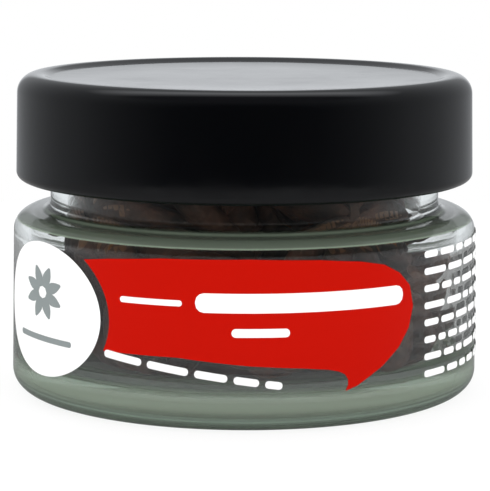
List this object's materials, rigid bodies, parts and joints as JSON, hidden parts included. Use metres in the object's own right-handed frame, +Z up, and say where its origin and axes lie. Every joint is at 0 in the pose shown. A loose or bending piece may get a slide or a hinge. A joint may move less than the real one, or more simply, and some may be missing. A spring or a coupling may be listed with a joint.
{
  "type": "jar of star anise",
  "caption": "Low round glass jar with a deep black screw lid and a clear wrap-round label, full of whole dried star anise pods.",
  "frame": {"origin": "centre of the circle that the jar stands on, on the underside of the glass", "axes": "+Z up through the lid, -Y towards the front of the label, +X to the right as the label is read"},
  "size_m": [0.0754, 0.0754, 0.0504],
  "materials": {
    "glass": "clear, thick soda-lime glass, faintly green where it is deep",
    "black_lacquer": "glossy black lacquer on tinplate",
    "label_film": "clear glossy film that carries the print",
    "red_print": "flat bright red print on the film",
    "white_print": "opaque white print on the film",
    "star_anise": "dry, wrinkled, woody red-brown pods, matt outside and smooth inside",
    "seed": "glossy chestnut-brown seeds"
  },
  "bodies": {
    "root": {"jar": "glass", "lid": "black_lacquer", "label": "label_film", "star_anise": "star_anise"}
  },
  "joints": []
}
